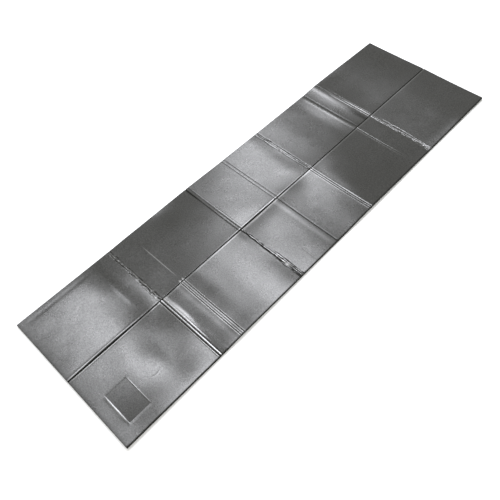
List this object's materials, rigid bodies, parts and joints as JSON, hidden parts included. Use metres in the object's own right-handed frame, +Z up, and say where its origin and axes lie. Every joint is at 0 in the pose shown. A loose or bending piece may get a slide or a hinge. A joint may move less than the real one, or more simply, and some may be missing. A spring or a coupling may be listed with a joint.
{
  "type": "folding foam sleeping pad",
  "caption": "Thin film-faced foam sleeping pad with square-edged panels; folds in half lengthwise, then concertinas at pressed crease bands into a flat pack.",
  "frame": {"origin": "middle of the underside of the open pad", "axes": "+X across the pad to the right column, +Y along the pad from the patch end to the far end, +Z up out of the lying face"},
  "size_m": [0.57, 1.9, 0.01],
  "materials": {
    "top_film": "satin metallic film, fine grain",
    "bottom_film": "satin metallic film, fine grain",
    "foam_core": "cut closed-cell foam, matte",
    "crease_band": "pressed film, satin with fine creases",
    "centre_web": "matte web in the slit",
    "plain_patch": "satin film, plain"
  },
  "bodies": {
    "panel_left_1": {"foam_core_left_1": "foam_core", "top_film_left_1": "top_film", "bottom_film_left_1": "bottom_film", "centre_web_row_1": "centre_web"},
    "panel_right_1": {"foam_core_right_1": "foam_core", "top_film_right_1": "top_film", "bottom_film_right_1": "bottom_film", "plain_patch": "plain_patch"},
    "panel_left_2": {"foam_core_left_2": "foam_core", "top_film_left_2": "top_film", "bottom_film_left_2": "bottom_film", "centre_web_row_2": "centre_web"},
    "panel_right_2": {"foam_core_right_2": "foam_core", "top_film_right_2": "top_film", "bottom_film_right_2": "bottom_film"},
    "panel_left_3": {"foam_core_left_3": "foam_core", "top_film_left_3": "top_film", "bottom_film_left_3": "bottom_film"},
    "panel_right_3": {"foam_core_right_3": "foam_core", "top_film_right_3": "top_film", "bottom_film_right_3": "bottom_film", "centre_web_row_3": "centre_web"},
    "panel_left_4": {"foam_core_left_4": "foam_core", "top_film_left_4": "top_film", "bottom_film_left_4": "bottom_film", "centre_web_row_4": "centre_web"},
    "panel_right_4": {"foam_core_right_4": "foam_core", "top_film_right_4": "top_film", "bottom_film_right_4": "bottom_film"},
    "panel_left_5": {"foam_core_left_5": "foam_core", "top_film_left_5": "top_film", "bottom_film_left_5": "bottom_film"},
    "panel_right_5": {"foam_core_right_5": "foam_core", "top_film_right_5": "top_film", "bottom_film_right_5": "bottom_film", "centre_web_row_5": "centre_web"},
    "band_left_1": {"crease_band_left_1": "crease_band", "centre_web_fold_1": "centre_web"},
    "band_right_1": {"crease_band_right_1": "crease_band"},
    "band_left_2": {"crease_band_left_2": "crease_band"},
    "band_right_2": {"crease_band_right_2": "crease_band", "centre_web_fold_2": "centre_web"},
    "band_left_3": {"crease_band_left_3": "crease_band", "centre_web_fold_3": "centre_web"},
    "band_right_3": {"crease_band_right_3": "crease_band"},
    "band_left_4": {"crease_band_left_4": "crease_band"},
    "band_right_4": {"crease_band_right_4": "crease_band", "centre_web_fold_4": "centre_web"}
  },
  "joints": [
    {"name": "centre_fold", "type": "hinge", "parent": "panel_left_1", "child": "panel_right_1", "pos_m": [0, -0.76, 0.01], "axis": [0, -1, 0], "range_deg": [0, 179.9]},
    {"name": "fold_1", "type": "hinge", "parent": "panel_left_1", "child": "band_left_1", "pos_m": [-0.14325, -0.5806, 0.01], "axis": [1, 0, 0], "range_deg": [0, 90], "deforming": ["crease_band_right_1"]},
    {"name": "fold_1_far", "type": "hinge", "parent": "band_left_1", "child": "panel_left_2", "pos_m": [-0.14325, -0.5594, 0.01], "axis": [1, 0, 0], "range_deg": [0, 90]},
    {"name": "centre_fold_band_1", "type": "hinge", "parent": "band_left_1", "child": "band_right_1", "pos_m": [0, -0.57, 0.01], "axis": [0, -1, 0], "range_deg": [0, 179.9]},
    {"name": "centre_fold_row_2", "type": "hinge", "parent": "panel_left_2", "child": "panel_right_2", "pos_m": [0, -0.38, 0.01], "axis": [0, -1, 0], "range_deg": [0, 179.9]},
    {"name": "fold_2", "type": "hinge", "parent": "panel_right_2", "child": "band_right_2", "pos_m": [0.14325, -0.2006, 0.01], "axis": [1, 0, 0], "range_deg": [0, 90], "deforming": ["crease_band_left_2"]},
    {"name": "fold_2_far", "type": "hinge", "parent": "band_right_2", "child": "panel_right_3", "pos_m": [0.14325, -0.1794, 0.01], "axis": [1, 0, 0], "range_deg": [0, 90]},
    {"name": "centre_fold_band_2", "type": "hinge", "parent": "band_right_2", "child": "band_left_2", "pos_m": [0, -0.19, 0.01], "axis": [0, 1, 0], "range_deg": [0, 179.9]},
    {"name": "centre_fold_row_3", "type": "hinge", "parent": "panel_right_3", "child": "panel_left_3", "pos_m": [0, 0, 0.01], "axis": [0, 1, 0], "range_deg": [0, 179.9]},
    {"name": "fold_3", "type": "hinge", "parent": "panel_left_3", "child": "band_left_3", "pos_m": [-0.14325, 0.1794, 0.01], "axis": [1, 0, 0], "range_deg": [0, 90], "deforming": ["crease_band_right_3"]},
    {"name": "fold_3_far", "type": "hinge", "parent": "band_left_3", "child": "panel_left_4", "pos_m": [-0.14325, 0.2006, 0.01], "axis": [1, 0, 0], "range_deg": [0, 90]},
    {"name": "centre_fold_band_3", "type": "hinge", "parent": "band_left_3", "child": "band_right_3", "pos_m": [0, 0.19, 0.01], "axis": [0, -1, 0], "range_deg": [0, 179.9]},
    {"name": "centre_fold_row_4", "type": "hinge", "parent": "panel_left_4", "child": "panel_right_4", "pos_m": [0, 0.38, 0.01], "axis": [0, -1, 0], "range_deg": [0, 179.9]},
    {"name": "fold_4", "type": "hinge", "parent": "panel_right_4", "child": "band_right_4", "pos_m": [0.14325, 0.5594, 0.01], "axis": [1, 0, 0], "range_deg": [0, 90], "deforming": ["crease_band_left_4"]},
    {"name": "fold_4_far", "type": "hinge", "parent": "band_right_4", "child": "panel_right_5", "pos_m": [0.14325, 0.5806, 0.01], "axis": [1, 0, 0], "range_deg": [0, 90]},
    {"name": "centre_fold_band_4", "type": "hinge", "parent": "band_right_4", "child": "band_left_4", "pos_m": [0, 0.57, 0.01], "axis": [0, 1, 0], "range_deg": [0, 179.9]},
    {"name": "centre_fold_row_5", "type": "hinge", "parent": "panel_right_5", "child": "panel_left_5", "pos_m": [0, 0.76, 0.01], "axis": [0, 1, 0], "range_deg": [0, 179.9]}
  ],
  "couplings": [
    {"joint": "fold_1_far", "follows": "fold_1", "ratio": 1},
    {"joint": "centre_fold_band_1", "follows": "centre_fold", "ratio": 1},
    {"joint": "centre_fold_row_2", "follows": "centre_fold", "ratio": 1},
    {"joint": "fold_2_far", "follows": "fold_2", "ratio": 1},
    {"joint": "centre_fold_band_2", "follows": "centre_fold", "ratio": 1},
    {"joint": "centre_fold_row_3", "follows": "centre_fold", "ratio": 1},
    {"joint": "fold_3_far", "follows": "fold_3", "ratio": 1},
    {"joint": "centre_fold_band_3", "follows": "centre_fold", "ratio": 1},
    {"joint": "centre_fold_row_4", "follows": "centre_fold", "ratio": 1},
    {"joint": "fold_4_far", "follows": "fold_4", "ratio": 1},
    {"joint": "centre_fold_band_4", "follows": "centre_fold", "ratio": 1},
    {"joint": "centre_fold_row_5", "follows": "centre_fold", "ratio": 1}
  ]
}
